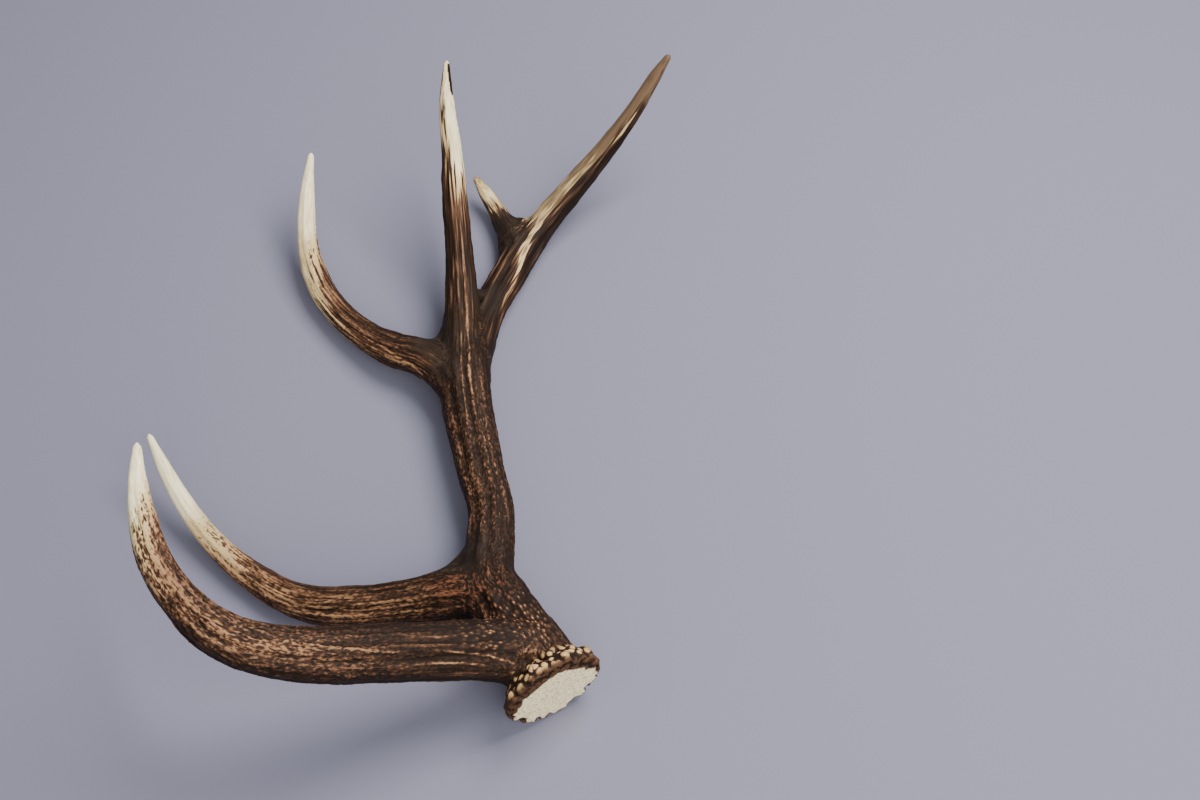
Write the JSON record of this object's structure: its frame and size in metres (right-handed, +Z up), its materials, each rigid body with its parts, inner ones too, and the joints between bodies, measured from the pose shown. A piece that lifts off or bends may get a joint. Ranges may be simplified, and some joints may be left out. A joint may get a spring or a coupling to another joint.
{
  "type": "deer antler",
  "caption": "Branching deer antler lying on its side: pearled burr sawn flat, dark ridged beam, curved pale-tipped tines and a forked crown.",
  "frame": {"origin": "on the surface that the antler lies on, under the middle of its box", "axes": "+Z up from the surface, +Y from the sawn burr towards the crown, +X to the right when looking along +Y, so the tines curve out towards -X"},
  "size_m": [0.4612, 0.6296, 0.2002],
  "materials": {
    "antler": "satin, dark brown with tan ridges and pearls and pale smooth tips; the sawn face is off-white bone"
  },
  "bodies": {
    "root": {"beam": "antler", "brow_tine": "antler", "bez_tine": "antler", "trez_tine": "antler", "crown_front_tine": "antler", "crown_rear_tine": "antler", "crown_back_point": "antler"}
  },
  "joints": []
}
